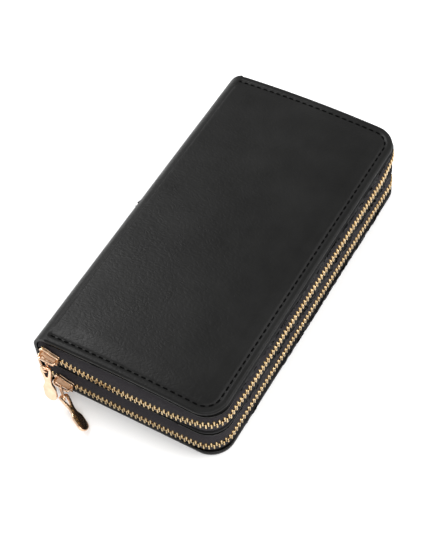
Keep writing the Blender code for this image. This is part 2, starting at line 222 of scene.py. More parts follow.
def leather_material(name, dark, light, rough_low, rough_high, crease, shine_level):
    """Smooth leather: fine pebble grain, long faint creases and a slightly uneven shine."""
    made, tree, shader = new_material(name)
    vector = scaled(tree)
    uneven = warped(tree, vector, 60, 0.012)
    patches = noise(tree, vector, 35)
    color = ramp(tree, patches, dark, light, 0.3, 0.72)
    tree.links.new(color, shader.inputs["Base Color"])
    shine = noise(tree, uneven, 90, 5)
    rough = node(tree, "ShaderNodeMapRange", To_Min=rough_low, To_Max=rough_high)
    rough.inputs["From Min"].default_value = 0.3
    rough.inputs["From Max"].default_value = 0.7
    tree.links.new(shine, rough.inputs["Value"])
    tree.links.new(rough.outputs[0], shader.inputs["Roughness"])
    shader.inputs["Specular IOR Level"].default_value = shine_level
    grain = cells(tree, warped(tree, vector, 700, 0.0008), 900)
    folds = cells(tree, warped(tree, scaled(tree, (0.6, 1, 1)), 160, 0.006), 520)
    soft_folds = node(tree, "ShaderNodeMapRange", interpolation_type="SMOOTHSTEP")
    soft_folds.inputs["From Max"].default_value = 0.3
    tree.links.new(folds, soft_folds.inputs["Value"])
    bump_chain(tree, shader, [
        (grain, 0.25, 0.0001),
        (soft_folds.outputs[0], crease, 0.00012),
        (noise(tree, uneven, 420, 6), 0.4, 0.0002),
    ])
    return made


def woven_material(name, dark, light):
    """Zip tape: a fine herringbone weave that runs round the wallet, its colour painted dark in the weave's
    low threads and light on its raised ribs: painted shade and highlight on the pattern.
    """
    made, tree, shader = new_material(name)
    place = tree.nodes.new("ShaderNodeUVMap")
    place.uv_map = "weave"
    apart = tree.nodes.new("ShaderNodeSeparateXYZ")
    tree.links.new(place.outputs["UV"], apart.inputs[0])

    def maths(operation, a, b=None):
        step = node(tree, "ShaderNodeMath", operation=operation)
        for socket, value in zip(step.inputs, (a, b)):
            if value is None:
                continue
            if isinstance(value, (int, float)):
                socket.default_value = value
            else:
                tree.links.new(value, socket)
        return step.outputs[0]

    zigzag = maths("PINGPONG", apart.outputs["Y"], HERRINGBONE_WIDE)
    slant = maths("ADD", apart.outputs["X"], maths("MULTIPLY", zigzag, HERRINGBONE_SLANT))
    rib = maths("SINE", maths("MULTIPLY", slant, 2 * math.pi / RIB_PITCH))
    thread = maths("SINE", maths("MULTIPLY", apart.outputs["Y"], 2 * math.pi / THREAD_PITCH))
    height = maths("ADD", maths("MULTIPLY", rib, 0.7), maths("MULTIPLY", thread, 0.3))
    share = maths("ADD", maths("MULTIPLY", height, 0.5), 0.5)
    # painted shade and highlight: the colour follows the weave's height, darkest in its hollows and lightest
    # on the ribs
    tree.links.new(ramp(tree, share, dark, light, 0.1, 0.95), shader.inputs["Base Color"])
    shader.inputs["Roughness"].default_value = 0.78
    shader.inputs["Specular IOR Level"].default_value = 0.08
    shader.inputs["Sheen Weight"].default_value = 0.01
    shader.inputs["Sheen Roughness"].default_value = 0.5
    bump_chain(tree, shader, [(share, 0.8, 0.00018), (noise(tree, scaled(tree), 2500), 0.2, 0.0001)])
    return made


def metal_material(name, dark, light, rough):
    """Plated metal, brighter and duller in faint patches, with fine handling marks."""
    made, tree, shader = new_material(name)
    vector = scaled(tree)
    color = ramp(tree, noise(tree, vector, 260), dark, light, 0.3, 0.7)
    tree.links.new(color, shader.inputs["Base Color"])
    shader.inputs["Metallic"].default_value = 1
    wear = node(tree, "ShaderNodeMapRange", To_Min=rough * 0.8, To_Max=rough * 1.3)
    tree.links.new(noise(tree, vector, 700, 6), wear.inputs["Value"])
    tree.links.new(wear.outputs[0], shader.inputs["Roughness"])
    bump_chain(tree, shader, [(noise(tree, scaled(tree, (1, 1, 6)), 1500), 0.06, 0.00005)])
    return made


def board_material():
    made, tree, shader = new_material("fibre_board")
    vector = scaled(tree)
    fibres = noise(tree, scaled(tree, (1, 6, 1)), 900, 6)
    color = ramp(tree, fibres, (0.2, 0.17, 0.13), (0.36, 0.31, 0.24), 0.3, 0.7)
    tree.links.new(color, shader.inputs["Base Color"])
    shader.inputs["Roughness"].default_value = 0.9
    bump_chain(tree, shader, [(noise(tree, vector, 1800), 0.3, 0.0001)])
    return made


def thread_material():
    made, tree, shader = new_material("stitch_thread")
    twist = node(tree, "ShaderNodeTexWave", Scale=900, Distortion=1.5)
    tree.links.new(scaled(tree, (1, 1, 0.4)), twist.inputs["Vector"])
    color = ramp(tree, twist.outputs["Fac"], (0.0008, 0.0008, 0.0008), (0.002, 0.002, 0.002), 0.2, 0.9)
    tree.links.new(color, shader.inputs["Base Color"])
    shader.inputs["Roughness"].default_value = 0.7
    shader.inputs["Specular IOR Level"].default_value = 0.03
    bump_chain(tree, shader, [(twist.outputs["Fac"], 0.5, 0.0001)])
    return made


LEATHER_SKIN = leather_material(
    "outer_leather", dark=(0.004, 0.004, 0.0038), light=(0.008, 0.008, 0.0077),
    rough_low=0.36, rough_high=0.48, crease=0.3, shine_level=0.15,
)
LINING_SKIN = leather_material(
    "lining_leather", dark=(0.01, 0.01, 0.0105), light=(0.018, 0.018, 0.019),
    rough_low=0.5, rough_high=0.66, crease=0.08, shine_level=0.3,
)
TAPE_CLOTH = woven_material("zip_tape", (0.0015, 0.0014, 0.0016), (0.05, 0.045, 0.05))
TEETH_METAL = metal_material("zip_teeth", (0.5, 0.35, 0.16), (0.76, 0.58, 0.33), 0.24)
# Painted shade: the wings get a darker bronze than the rest of the slider's metal, standing for the shade
# they lie in behind the link and the frame's rails.
SHADED_WING_METAL = metal_material("slider_wings", (0.3, 0.15, 0.065), (0.5, 0.28, 0.13), 0.3)
FITTING_METAL = metal_material("zip_fittings", (0.7, 0.47, 0.31), (0.84, 0.62, 0.45), 0.14)
BOARD = board_material()
THREAD = thread_material()


# ---- shapes ----

def arc(center, radius, start, end, steps):
    return [
        (center[0] + radius * math.cos(a), center[1] + radius * math.sin(a))
        for a in np.radians(np.linspace(start, end, steps + 1))
    ]


def open_side_path(inset, x0):
    """From the spine along the near side, round the opening side, and back along the far side."""
    radius = CORNER - inset
    middle_x, middle_y = OPEN_X - CORNER, FAR_Y - CORNER
    near = arc((middle_x, -middle_y), radius, -90, 0, CORNER_STEPS)
    far = arc((middle_x, middle_y), radius, 0, 90, CORNER_STEPS)
    return [(x0, NEAR_Y + inset)] + near + far + [(x0, FAR_Y - inset)]


def walk(path, step, start=0.0):
    """Points evenly spaced along a path: (x, y, outward x, outward y, distance)."""
    points = np.array(path)
    spans = np.hypot(*np.diff(points, axis=0).T)
    ends = np.concatenate([[0], np.cumsum(spans)])
    found = []
    for s in np.arange(start, ends[-1], step):
        k = min(np.searchsorted(ends, s, side="right") - 1, len(spans) - 1)
        share = (s - ends[k]) / spans[k]
        x, y = points[k] + (points[k + 1] - points[k]) * share
        along = (points[k + 1] - points[k]) / spans[k]
        found.append((x, y, along[1], -along[0], s))
    return found


def crown(x):
    """The covers bow up a little between the spine and the opening side."""
    return (CROWN_HIGH - CROWN_FALL * ((x - CROWN_MIDDLE) / CROWN_REACH) ** 2) * MM


def chain_line(x, y, upper):
    """How far a zip's middle line stands out of the outline, and its height, at a point."""
    run = np.clip((x - TEETH_START) / (OPEN_X - CORNER - TEETH_START), 0, 1)
    on_short = 1 - smooth((x - (OPEN_X - CORNER)) / CORNER)
    belly = max(math.sin(math.pi * run), 0) ** BELLY_FULLNESS * on_short
    long_side = smooth((FAR_Y - CORNER - abs(y)) / (20 * MM))
    if upper:
        out = (UPPER_BELLY_OUT * belly + UPPER_OUT_ROUND_CORNERS * (1 - on_short)
               + UPPER_OUT_ON_LONG_SIDE * long_side)
        out -= UPPER_HELD_AT_FAR_END * smooth((y - (FAR_Y - 25 * MM)) / (15 * MM))
        return out * MM, UPPER_CHAIN - UPPER_BELLY_DOWN * belly
    out = LOWER_BELLY_OUT * belly - LOWER_IN_ROUND_CORNERS * (1 - on_short)
    return out * MM, LOWER_CHAIN - LOWER_BELLY_DOWN * belly


def mesh_object(name, verts, faces, finish, shade=40):
    mesh = bpy.data.meshes.new(name)
    mesh.from_pydata([tuple(v) for v in verts], [], faces)
    mesh.update()
    made = bpy.data.objects.new(name, mesh)
    bpy.context.scene.collection.objects.link(made)
    mesh.materials.append(finish)
    mesh.shade_smooth()
    mesh.set_sharp_from_angle(angle=math.radians(shade))
    return made


def grid_faces(rows, columns, first=0, closed=False):
    """Quads over a grid of points laid out row by row. Closed joins the last column to the first."""
    last = columns if closed else columns - 1
    return [
        (first + r * columns + c, first + r * columns + (c + 1) % columns,
         first + (r + 1) * columns + (c + 1) % columns, first + (r + 1) * columns + c)
        for r in range(rows - 1) for c in range(last)
    ]


def edge_distance(x, y):
    """How far inside the outline's three open sides a point is."""
    dx, dy = OPEN_X - CORNER - x, FAR_Y - CORNER - abs(y)
    if dx < 0 and dy < 0:
        return CORNER - math.hypot(dx, dy)
    return min(dx, dy) + CORNER


def edge_x(y):
    """Where the outline lies at a distance along the spine."""
    over = abs(y) - (FAR_Y - CORNER)
    if over <= 0:
        return OPEN_X
    return OPEN_X - CORNER + math.sqrt(max(CORNER ** 2 - over ** 2, 0))


def panel_relief(d, puff):
    """Height of a cover's face above its level, by the distance from its open edge."""
    turned = RIM - math.sqrt(max(RIM ** 2 - max(RIM - d, 0) ** 2, 0))
    groove = math.exp(-(((d - STITCH_INSET) / GROOVE_WIDE) ** 2))
    inner = smooth((d - STITCH_INSET) / INNER_RISE)
    return -turned - GROOVE_DEEP * groove + puff * inner - BAND_DROP * smooth((d - BAND_WIDE) / BAND_STEP)


def welded(thing, distance=0.01 * MM):
    form = bmesh.new()
    form.from_mesh(thing.data)
    bmesh.ops.remove_doubles(form, verts=form.verts, dist=distance)
    bmesh.ops.dissolve_degenerate(form, edges=form.edges, dist=distance)
    bmesh.ops.recalc_face_normals(form, faces=form.faces)
    form.to_mesh(thing.data)
    form.free()


def far_round(x):
    """How much the leather's far end is rounded off beside the spine."""
    u = min((x - SPINE_X) / FAR_ROUND_LONG, 1)
    return FAR_ROUND_DEEP * (1 - math.sqrt(max(1 - (1 - u) ** 2, 0)))


def cover_skin(name, top):
    """One leather sheet: a padded face with a turned edge, carried round the spine to its middle."""
    angles = np.radians(np.linspace(0, 90, CORNER_ROWS))
    corner_y = (FAR_Y - CORNER) + CORNER * np.cos(angles)
    inner = np.linspace(-(FAR_Y - CORNER), FAR_Y - CORNER, LONG_ROWS)[1:-1]
    ys = np.concatenate([-corner_y, inner, corner_y[::-1]])
    bend_x = SPINE_X + SPINE_BEND
    coarse = np.linspace(0, FINE_FROM, COARSE_STEPS)[:-1]
    shares = np.concatenate([coarse, np.linspace(FINE_FROM, 1, FINE_STEPS)])
    chain = UPPER_CHAIN if top else LOWER_CHAIN
    sign = 1 if top else -1
    face = HEIGHT if top else FLOOR_GAP
    puff = TOP_PUFF if top else BASE_PUFF
    deep = TOP_SKIN_DEEP if top else BASE_SKIN_DEEP
    held_in = HELD_IN if top else 0
    tall = abs(face - chain)
    rows = []
    for y in ys:
        row = [(SPINE_X, y, z) for z in np.linspace(SPINE_MIDDLE, chain, SPINE_STEPS)[:-1]]
        for a in np.radians(np.linspace(0, 90, BEND_STEPS))[:-1]:
            x = bend_x - SPINE_BEND * math.cos(a)
            bow = crown(x) * math.sin(a) ** 2 if top else 0
            row.append((x, y, chain + sign * tall * math.sin(a) + bow))
        for t in shares:
            x = bend_x + (edge_x(y) - held_in - bend_x) * t
            base = face + (crown(x) if top else 0)
            row.append((x, y, base + sign * panel_relief(max(edge_distance(x + held_in * t, y), 0), puff)))
        x, _, z = row[-1]
        row += [(x, y, z + (base - sign * deep - z) * drop) for drop in TURN_STEPS]
        rows.append([(x, y - far_round(x) if y > 0 else y, z) for x, y, z in row])
    faces_from = len(row) - len(shares) - len(TURN_STEPS)

    def turned_end(row, drop):
        """The same row let down to the cover's lower edge, and inside the spine's end."""
        made = []
        for k, (x, y, z) in enumerate(row):
            base = face + (crown(x) if top else 0)
            if k >= faces_from:
                made.append((x, y, z + (base - sign * deep - z) * drop))
            else:
                across = Vector((bend_x - x, 0, chain - z)).normalized() * SPINE_END_TURN * drop
                made.append((x + across.x, y, z + across.z))
        return made

    near = [turned_end(rows[0], drop) for drop in TURN_STEPS[::-1]]
    far = [turned_end(rows[-1], drop) for drop in TURN_STEPS]
    rows = near + rows + far
    made = mesh_object(name, sum(rows, []), grid_faces(len(rows), len(rows[0])), LEATHER_SKIN, 60)
    welded(made)
    middle = min(made.data.polygons, key=lambda f: (f.center - Vector((0, 0, face))).length)
    if middle.normal.z * sign < 0:
        made.data.flip_normals()
    shell = made.modifiers.new("thickness", "SOLIDIFY")
    shell.thickness = SKIN_THICK
    shell.offset = -1
    return made


def layer(name, inset, low, thick, finish, x0, bowed=False):
    """A sheet under a cover or in the divider, with rounded edges, bowed with the top cover."""
    path = open_side_path(inset, x0)
    spacing = 3 * MM
    outline = [(x, y) for x, y, *_ in walk(path, spacing)] + [path[-1]]
    across = np.linspace(0, 1, 40)
    near = [p for p in outline if p[1] < 0]
    far = [p for p in outline if p[1] >= 0][::-1]
    count = min(len(near), len(far))
    near = [near[round(k * (len(near) - 1) / (count - 1))] for k in range(count)]
    far = [far[round(k * (len(far) - 1) / (count - 1))] for k in range(count)]
    verts = []
    for (near_x, near_y), (far_x, far_y) in zip(near, far):
        for t in across:
            x, y = near_x + (far_x - near_x) * t, near_y + (far_y - near_y) * t
            verts.append((x, y, low + (crown(x) - BOARD_UNDER_CROWN if bowed else 0)))
    made = mesh_object(name, verts, grid_faces(count, len(across)), finish)
    welded(made)
    shell = made.modifiers.new("thickness", "SOLIDIFY")
    shell.thickness = thick
    shell.offset = 1 if made.data.polygons[0].normal.z > 0 else -1
    soft = made.modifiers.new("edge", "BEVEL")
    soft.width = thick * 0.3
    soft.segments = 2
    soft.limit_method = "ANGLE"
    return made


def tape_half(name, upper_zip, upper_half, root_z, bowed):
    """Half a zip's woven tape: from under the cover's edge it bellies out to the teeth."""
    stations = walk(open_side_path(0, TAPE_START), 1.5 * MM)
    sign = 1 if upper_half else -1
    shares = np.linspace(0, 1, 9)
    verts, weave = [], []
    for x, y, nx, ny, s in stations:
        out, chain = chain_line(x, y, upper_zip)
        root = root_z + (crown(x) if bowed else 0)
        edge = chain + sign * TAPE_EDGE
        for t in shares:
            stand = -TAPE_TUCK + (out + TAPE_TUCK) * math.sin(t * math.pi / 2) ** 0.8
            stand += TAPE_RIPPLE * math.sin(s / (9 * MM)) * math.sin(t * math.pi)
            z = root + (edge - root) * t
            verts.append((x + nx * stand, y + ny * stand, z))
            weave.append((s, t * abs(edge - root)))
    made = mesh_object(name, verts, grid_faces(len(stations), len(shares)), TAPE_CLOTH)
    layer_uv = made.data.uv_layers.new(name="weave")
    for loop in made.data.loops:
        layer_uv.data[loop.index].uv = weave[loop.vertex_index]
    shell = made.modifiers.new("thickness", "SOLIDIFY")
    shell.thickness = TAPE_THICK
    shell.offset = 0
    return made


# One side of a tooth, in millimetres: distance from the chain's middle, half width along the chain
TOOTH = (
    (-0.5, 0.26), (-0.35, 0.42), (0.1, 0.44), (0.5, 0.3),
    (0.9, 0.3), (1.3, 0.42), (2.4, 0.44), (2.6, 0.34),
)
# The tooth's layers: share of its thickness out from the middle, and how narrow it is there
TOOTH_LAYERS = ((-0.5, 0.82), (-0.38, 1), (0.38, 1), (0.5, 0.82))


def teeth(name, upper_zip, upper_half):
    """One row of separate metal teeth clamped on a tape's edge."""
    path = open_side_path(0, TEETH_PATH_START)
    start = TEETH_START - TEETH_PATH_START + (0 if upper_half else PITCH / 2)
    sign = 1 if upper_half else -1
    left = [(-w, h) for h, w in TOOTH]
    right = [(w, h) for h, w in TOOTH[::-1]]
    outline = left + right
    middle_h = (TOOTH[0][0] + TOOTH[-1][0]) / 2
    verts, faces = [], []
    for x, y, nx, ny, s in walk(path, PITCH, start):
        out, chain = chain_line(x, y, upper_zip)
        first = len(verts)
        for depth, narrow in TOOTH_LAYERS:
            stand = out + depth * TOOTH_THICK
            for w, h in outline:
                w *= narrow
                h = middle_h + (h - middle_h) * (0.5 + narrow / 2)
                verts.append((
                    x + nx * stand - ny * w * MM, y + ny * stand + nx * w * MM,
                    chain + sign * h * MM,
                ))
        faces += grid_faces(len(TOOTH_LAYERS), len(outline), first, closed=True)
        faces.append(tuple(range(first, first + len(outline))))
        last = first + len(outline) * (len(TOOTH_LAYERS) - 1)
        faces.append(tuple(range(last, last + len(outline)))[::-1])
    made = mesh_object(name, verts, faces, TEETH_METAL, 35)
    welded(made, 0.001 * MM)
    return made


def stitches(name, top):
    """Thread stitches lying in the groove round a cover's three open sides."""
    path = open_side_path(STITCH_INSET, SPINE_X + SPINE_BEND)
    sign = 1 if top else -1
    face = HEIGHT if top else 0.0
    lengths = np.linspace(-1, 1, 9)
    verts, faces = [], []
    for x, y, nx, ny, _ in walk(path, STITCH_PITCH, STITCH_PITCH / 2):
        first = len(verts)
        if top:
            x -= HELD_IN * (x - SPINE_X - SPINE_BEND) / (OPEN_X - SPINE_X - SPINE_BEND)
        level = face + sign * (panel_relief(STITCH_INSET, 0) + 0.12 * MM) + (crown(x) if top else 0)
        for t in lengths:
            bulge = THREAD_RADIUS * math.sqrt(max(1 - t ** 6, 0.02))
            dip = 0.28 * MM * t ** 4
            for a in np.linspace(0, 2 * math.pi, THREAD_SIDES + 1)[:-1]:
                side, up = bulge * math.cos(a), 0.7 * bulge * math.sin(a) - dip
                along = t * STITCH_LONG / 2
                verts.append((x - ny * along + nx * side, y + nx * along + ny * side, level + sign * up))
        faces += grid_faces(len(lengths), THREAD_SIDES, first, closed=True)
        faces.append(tuple(range(first, first + THREAD_SIDES)))
        last = first + THREAD_SIDES * (len(lengths) - 1)
        faces.append(tuple(range(last, last + THREAD_SIDES))[::-1])
    made = mesh_object(name, verts, faces, THREAD, 80)
    welded(made, 0.001 * MM)
    return made


def beveled(thing, width, segments=3):
    soft = thing.modifiers.new("edges", "BEVEL")
    soft.width = width
    soft.segments = segments
    soft.limit_method = "ANGLE"
    return thing


def flat_shape(name, outlines, thick, finish, bevel):
    """A flat outline with holes, given thickness and rounded edges, as a mesh in its own plane."""
    data = bpy.data.curves.new(name, "CURVE")
    data.dimensions = "2D"
    data.fill_mode = "BOTH"
    data.extrude = thick / 2 - bevel
    data.bevel_depth = bevel
    data.bevel_resolution = 3
    data.offset = -bevel
    for outline in outlines:
        spline = data.splines.new("POLY")
        spline.points.add(len(outline) - 1)
        spline.use_cyclic_u = True
        for point, (x, y) in zip(spline.points, outline):
            point.co = (x, y, 0, 1)
    curve = bpy.data.objects.new(name + "_outline", data)
    bpy.context.scene.collection.objects.link(curve)
    bpy.context.view_layer.update()
    mesh = bpy.data.meshes.new_from_object(curve.evaluated_get(bpy.context.evaluated_depsgraph_get()))
    bpy.data.objects.remove(curve, do_unlink=True)
    made = bpy.data.objects.new(name, mesh)
    bpy.context.scene.collection.objects.link(made)
    mesh.materials.clear()
    mesh.materials.append(finish)
    welded(made, 0.002 * MM)
    mesh.shade_smooth()
    mesh.set_sharp_from_angle(angle=math.radians(30))
    return made


def joined(name, things):
    """One object from several, each keeping its place."""
    bpy.context.view_layer.update()
    graph = bpy.context.evaluated_depsgraph_get()
    form = bmesh.new()
    for thing in things:
        mesh = bpy.data.meshes.new_from_object(thing.evaluated_get(graph))
        mesh.transform(thing.matrix_world)
        form.from_mesh(mesh)
        bpy.data.meshes.remove(mesh)
    mesh = bpy.data.meshes.new(name)
    form.to_mesh(mesh)
    form.free()
    mesh.materials.append(things[0].data.materials[0])
    for thing in things:
        bpy.data.objects.remove(thing, do_unlink=True)
    made = bpy.data.objects.new(name, mesh)
    bpy.context.scene.collection.objects.link(made)
    mesh.shade_smooth()
    mesh.set_sharp_from_angle(angle=math.radians(35))
    return made


# ---- sliders, links and pullers; their outlines are in millimetres about the slider's middle ----

WING_OUTLINE = (
    (-5.2, 2.6), (-4.6, 4.1), (-3.2, 4.6), (-0.6, 4.3), (1.2, 3.75), (4.6, 3.75), (5.2, 3.4),
)
SLIDER_TILT = math.radians(12)    # the chain drops away from the parked sliders
BAR_Y = -5.3 * MM           # the middle of the bridge's bar, outward
LINK_BEND = 1.75 * MM
LINK_REACH = 4.83 * MM
LINK_WIRE = 0.45 * MM
WING_THICK = 1.0 * MM
WING_OUT = 2.1 * MM
WING_EDGE = 0.28 * MM
RAIL_OUT = 2.55 * MM
RAIL_IN = 0.3 * MM
LIP_OUT = 1.35 * MM
LIP_IN = 0.35 * MM
RAIL_RADIUS = 0.42 * MM     # the rails' and the lips'
POST_CORNERS = ((-4.9, -1.5), (-3.2, -1.5), (-3.2, 1.5), (-4.9, 1.5))
POST_THICK = 0.9 * MM
POST_EDGE = 0.15 * MM
ARCH_OUTER = (
    (-5.1, -2.3), (-5.0, -4.6), (-4.5, -5.4), (-3.6, -5.75),
    (3.2, -5.75), (4.3, -5.3), (4.8, -4.4), (4.9, -2.3),
)
ARCH_INNER = (
    (4.0, -2.3), (3.8, -4.0), (3.4, -4.6), (2.8, -4.9),
    (-3.2, -4.9), (-3.9, -4.65), (-4.1, -4.0), (-4.2, -2.3),
)
ARCH_THICK = 1.4 * MM
ARCH_EDGE = 0.3 * MM
PULLER_LONG = 20.4 * MM
PULLER_SHOULDER = 3.3       # half widths: near the eye, at the waist and at the round end
PULLER_WAIST = 1.9
PULLER_END = 3.65
PULLER_BULB = PULLER_END * MM
PULLER_THICK = 1.4 * MM
PULLER_EDGE = 0.35 * MM
PULLER_TOP = ((2.2, 0.95), (3.0, 0.6))
PULLER_EYE = ((-1.9, -0.5), (1.9, -0.5), (1.75, -1.6), (0.45, -5.5), (-0.45, -5.5), (-1.75, -1.6))


def slider(name, middle):
    """Two wings joined by a post, their edges turned towards each other, and an arched bridge."""
    upper = [(x * MM, z * MM) for x, z in WING_OUTLINE]
    outline = upper + [(x, -z) for x, z in upper[::-1]]
    turned = Matrix.Rotation(math.radians(90), 4, "X")
    wings = []
    for y in (-WING_OUT, WING_OUT):
        wing = flat_shape("wing", [outline], WING_THICK, SHADED_WING_METAL, WING_EDGE)
        wing.matrix_world = Matrix.Translation((0, y, 0)) @ turned
        wings.append(wing)
    pieces = []
    for edge in (-1, 1):
        rail = [Vector((x, -RAIL_OUT, edge * (z - RAIL_IN))) for x, z in upper]
        pieces.append(wire("rail", rail, RAIL_RADIUS, False))
    for side in (-1, 1):
        for edge in (-1, 1):
            lip_line = [Vector((x, side * LIP_OUT, edge * (z - LIP_IN))) for x, z in upper[2:]]
            pieces.append(wire("lip", lip_line, RAIL_RADIUS, False))
    post = [(x * MM, y * MM) for x, y in POST_CORNERS]
    pieces.append(flat_shape("post", [post], POST_THICK, FITTING_METAL, POST_EDGE))
    arch = [(x * MM, y * MM) for x, y in ARCH_OUTER + ARCH_INNER]
    pieces.append(flat_shape("arch", [arch], ARCH_THICK, FITTING_METAL, ARCH_EDGE))
    made = [joined(name + "_wings", wings), joined(name + "_frame", pieces)]
    for piece in made:
        piece.matrix_world = Matrix.Translation(middle) @ Matrix.Rotation(SLIDER_TILT, 4, "Y")
    return made


def wire(name, points, radius, closed):
    """A round wire of fitting metal through points, as a curve."""
    data = bpy.data.curves.new(name, "CURVE")
    data.dimensions = "3D"
    data.bevel_depth = radius
    data.bevel_resolution = 3
    data.use_fill_caps = True
    spline = data.splines.new("POLY")
    spline.points.add(len(points) - 1)
    spline.use_cyclic_u = closed
    for point, place in zip(spline.points, points):
        point.co = (*place, 1)
    made = bpy.data.objects.new(name, data)
    bpy.context.scene.collection.objects.link(made)
    data.materials.append(FITTING_METAL)
    return made


def facing(way, across):
    """A rotation that lays local -Y along a way, with local X as near to across as it can be."""
    down = Vector(way).normalized()
    side = Vector(across)
    side = (side - down * side.dot(down)).normalized()
    return Matrix((side, -down, side.cross(-down))).transposed().to_4x4()


def link(name, place, turn):
    """A long closed loop of wire that hangs from the bridge's bar."""
    upper = arc((0, 0), LINK_BEND, 0, 180, 12)
    lower = arc((0, -LINK_REACH), LINK_BEND, 180, 360, 12)
    made = joined(name, [wire("loop", [(x, y, 0) for x, y in upper + lower], LINK_WIRE, True)])
    made.matrix_world = Matrix.Translation(place) @ turn
    return made


def puller_half(t):
    """Half the puller's width, in millimetres, at a share of its straight length."""
    if t < 0.5:
        return PULLER_SHOULDER + (PULLER_WAIST - PULLER_SHOULDER) * smooth(t / 0.5)
    return PULLER_WAIST + (PULLER_END - PULLER_WAIST) * smooth((t - 0.5) / 0.28)


def puller(name, place, turn):
    """A flat bone-shaped tab with rounded edges and a tapering eye for the link."""
    straight = PULLER_LONG - PULLER_BULB
    shares = np.linspace(0, 1, 18)
    side = [(puller_half(t) * MM, -straight * t) for t in shares]
    tip = arc((0, -straight), PULLER_BULB, 0, -180, 22)[1:-1]
    right = [(x * MM, y * MM) for x, y in PULLER_TOP] + side
    left = [(-x, y) for x, y in right[::-1]]
    eye = [(x * MM, y * MM) for x, y in PULLER_EYE]
    made = flat_shape(name, [right + tip + left, eye], PULLER_THICK, FITTING_METAL, PULLER_EDGE)
    made.matrix_world = Matrix.Translation(place) @ turn
    return made


# Where each link hangs along the bar, its way, what its opening faces, the puller's way and its across
UPPER_WAYS = (
    -2.2, (0.559, -0.348, -0.752), (1.0, 0.0, 0.0), (0.17, -0.235, -0.957), (1.0, 0.0, 0.0),
)
LOWER_WAYS = (
    -0.1, (0.722, -0.602, -0.341), (0.52, 0.84, -0.15), (0.862, -0.392, -0.322), (0.129, 0.7825, -0.609),
)


def fittings(prefix, ways):
    low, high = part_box(prefix + "_zip_slider")
    height = UPPER_CHAIN if prefix == "upper" else LOWER_CHAIN
    middle = Vector(((low[0] + high[0]) / 2, NEAR_Y, height))
    on_bar = ways[0] * MM
    link_way, link_axis, puller_way, across = [Vector(w).normalized() for w in ways[1:]]
    wings, body = slider(prefix + "_slider", middle)
    bar = middle + Vector((on_bar, BAR_Y, 0))
    ring = link(prefix + "_link_loop", bar, facing(link_way, link_way.cross(link_axis)))
    tab = puller(prefix + "_puller_tab", bar + link_way * LINK_REACH, facing(puller_way, across))
    for piece, node_name, rides in (
        (wings, "_zip_slider", "_slider"),
        (body, "_zip_slider", "_slider"),
        (ring, "_puller_link", "_link"),
        (tab, "_puller", "_puller"),
    ):
        piece.data.transform(piece.matrix_world)
        piece.matrix_world = Matrix()
        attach(piece, prefix + rides)
        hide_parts(prefix + node_name)


def covers():
    for prefix, top, body in (("top", True, "lid"), ("bottom", False, "base")):
        skin = cover_skin(prefix + "_cover_skin", top)
        if top:
            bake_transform(skin)
        else:
            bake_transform(skin)
        if top:
            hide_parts("top_cover_leather", "spine_top", "spine_middle")
        else:
            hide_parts("bottom_cover_leather", "spine_bottom")
        thread = stitches(prefix + "_cover_stitches", top)
        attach(thread, body)


# The flat sheets: node, body, how far inside the outline, whether bowed with the top cover, finish
LAYERS = (
    ("top_cover_lining", "lid", 0.15 * MM, True, LINING_SKIN),
    ("top_cover_board", "lid", 2.0 * MM, True, BOARD),
    ("bottom_cover_lining", "base", 0.15 * MM, False, LINING_SKIN),
    ("divider_upper_lining", "divider", 0.2 * MM, False, LINING_SKIN),
    ("divider_lower_lining", "divider", 0.2 * MM, False, LINING_SKIN),
)


def linings():
    for node_name, body, inset, bowed, finish in LAYERS:
        low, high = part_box(node_name)
        made = layer(node_name + "_sheet", inset, low[2], high[2] - low[2], finish, low[0], bowed)
        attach(made, body)
        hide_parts(node_name)


# The bodies on either side of each zip
ZIP_BODIES = {"lower": ("base", "divider"), "upper": ("divider", "lid")}


def zips():
    for prefix, (lower_body, upper_body) in ZIP_BODIES.items():
        upper_zip = prefix == "upper"
        for half, upper_half, body in (("lower", False, lower_body), ("upper", True, upper_body)):
            node_name = f"{prefix}_zip_{half}_tape"
            low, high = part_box(node_name)
            root = high[2] if upper_half else low[2]
            bowed = upper_zip and upper_half
            cloth = tape_half(f"{prefix}_{half}_tape_weave", upper_zip, upper_half, root, bowed)
            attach(cloth, body)
            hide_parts(node_name)
            row = teeth(f"{prefix}_{half}_metal_teeth", upper_zip, upper_half)
            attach(row, body)
            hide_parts(f"{prefix}_zip_{half}_teeth")


SOFT_EDGE = 0.3 * MM


def softened(node_name, body, finish, width):
    """The node's own shape with its edges rounded off."""
    source = frame["nodes"][node_name]
    mesh = source.data.copy()
    mesh.materials.clear()
    mesh.materials.append(finish)
    made = bpy.data.objects.new(node_name + "_soft", mesh)
    bpy.context.scene.collection.objects.link(made)
    made.matrix_world = source.matrix_world
    beveled(made, width)
    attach(made, body)
    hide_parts(node_name)
    return made


COIN_PITCH = 2.0 * MM
COIN_TOOTH_HALF = 0.45 * MM
COIN_TOOTH_OVERLAP = 0.35 * MM
COIN_TOOTH_REACH = 1.5 * MM


def coin_teeth():
    """Two rows of small interlocking teeth down the middle of the coin zip."""
    low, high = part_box("coin_zip_teeth")
    middle = (low[0] + high[0]) / 2
    verts, faces = [], []
    for side in (-1, 1):
        inner, outer = middle - side * COIN_TOOTH_OVERLAP, middle + side * COIN_TOOTH_REACH
        begin = low[1] + (2 - side) * COIN_PITCH / 4
        for y in np.arange(begin, high[1] - COIN_PITCH / 2, COIN_PITCH):
            first = len(verts)
            near, far = y - COIN_TOOTH_HALF, y + COIN_TOOTH_HALF
            for z in (low[2], high[2]):
                verts += [(inner, near, z), (outer, near, z), (outer, far, z), (inner, far, z)]
            faces += grid_faces(2, 4, first, closed=True)
            faces += [tuple(range(first, first + 4))[::-1], tuple(range(first + 4, first + 8))]
    made = mesh_object("coin_metal_teeth", verts, faces, TEETH_METAL, 30)
    welded(made, 0.001 * MM)
    beveled(made, 0.2 * MM, 2)
    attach(made, "divider")
    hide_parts("coin_zip_teeth")


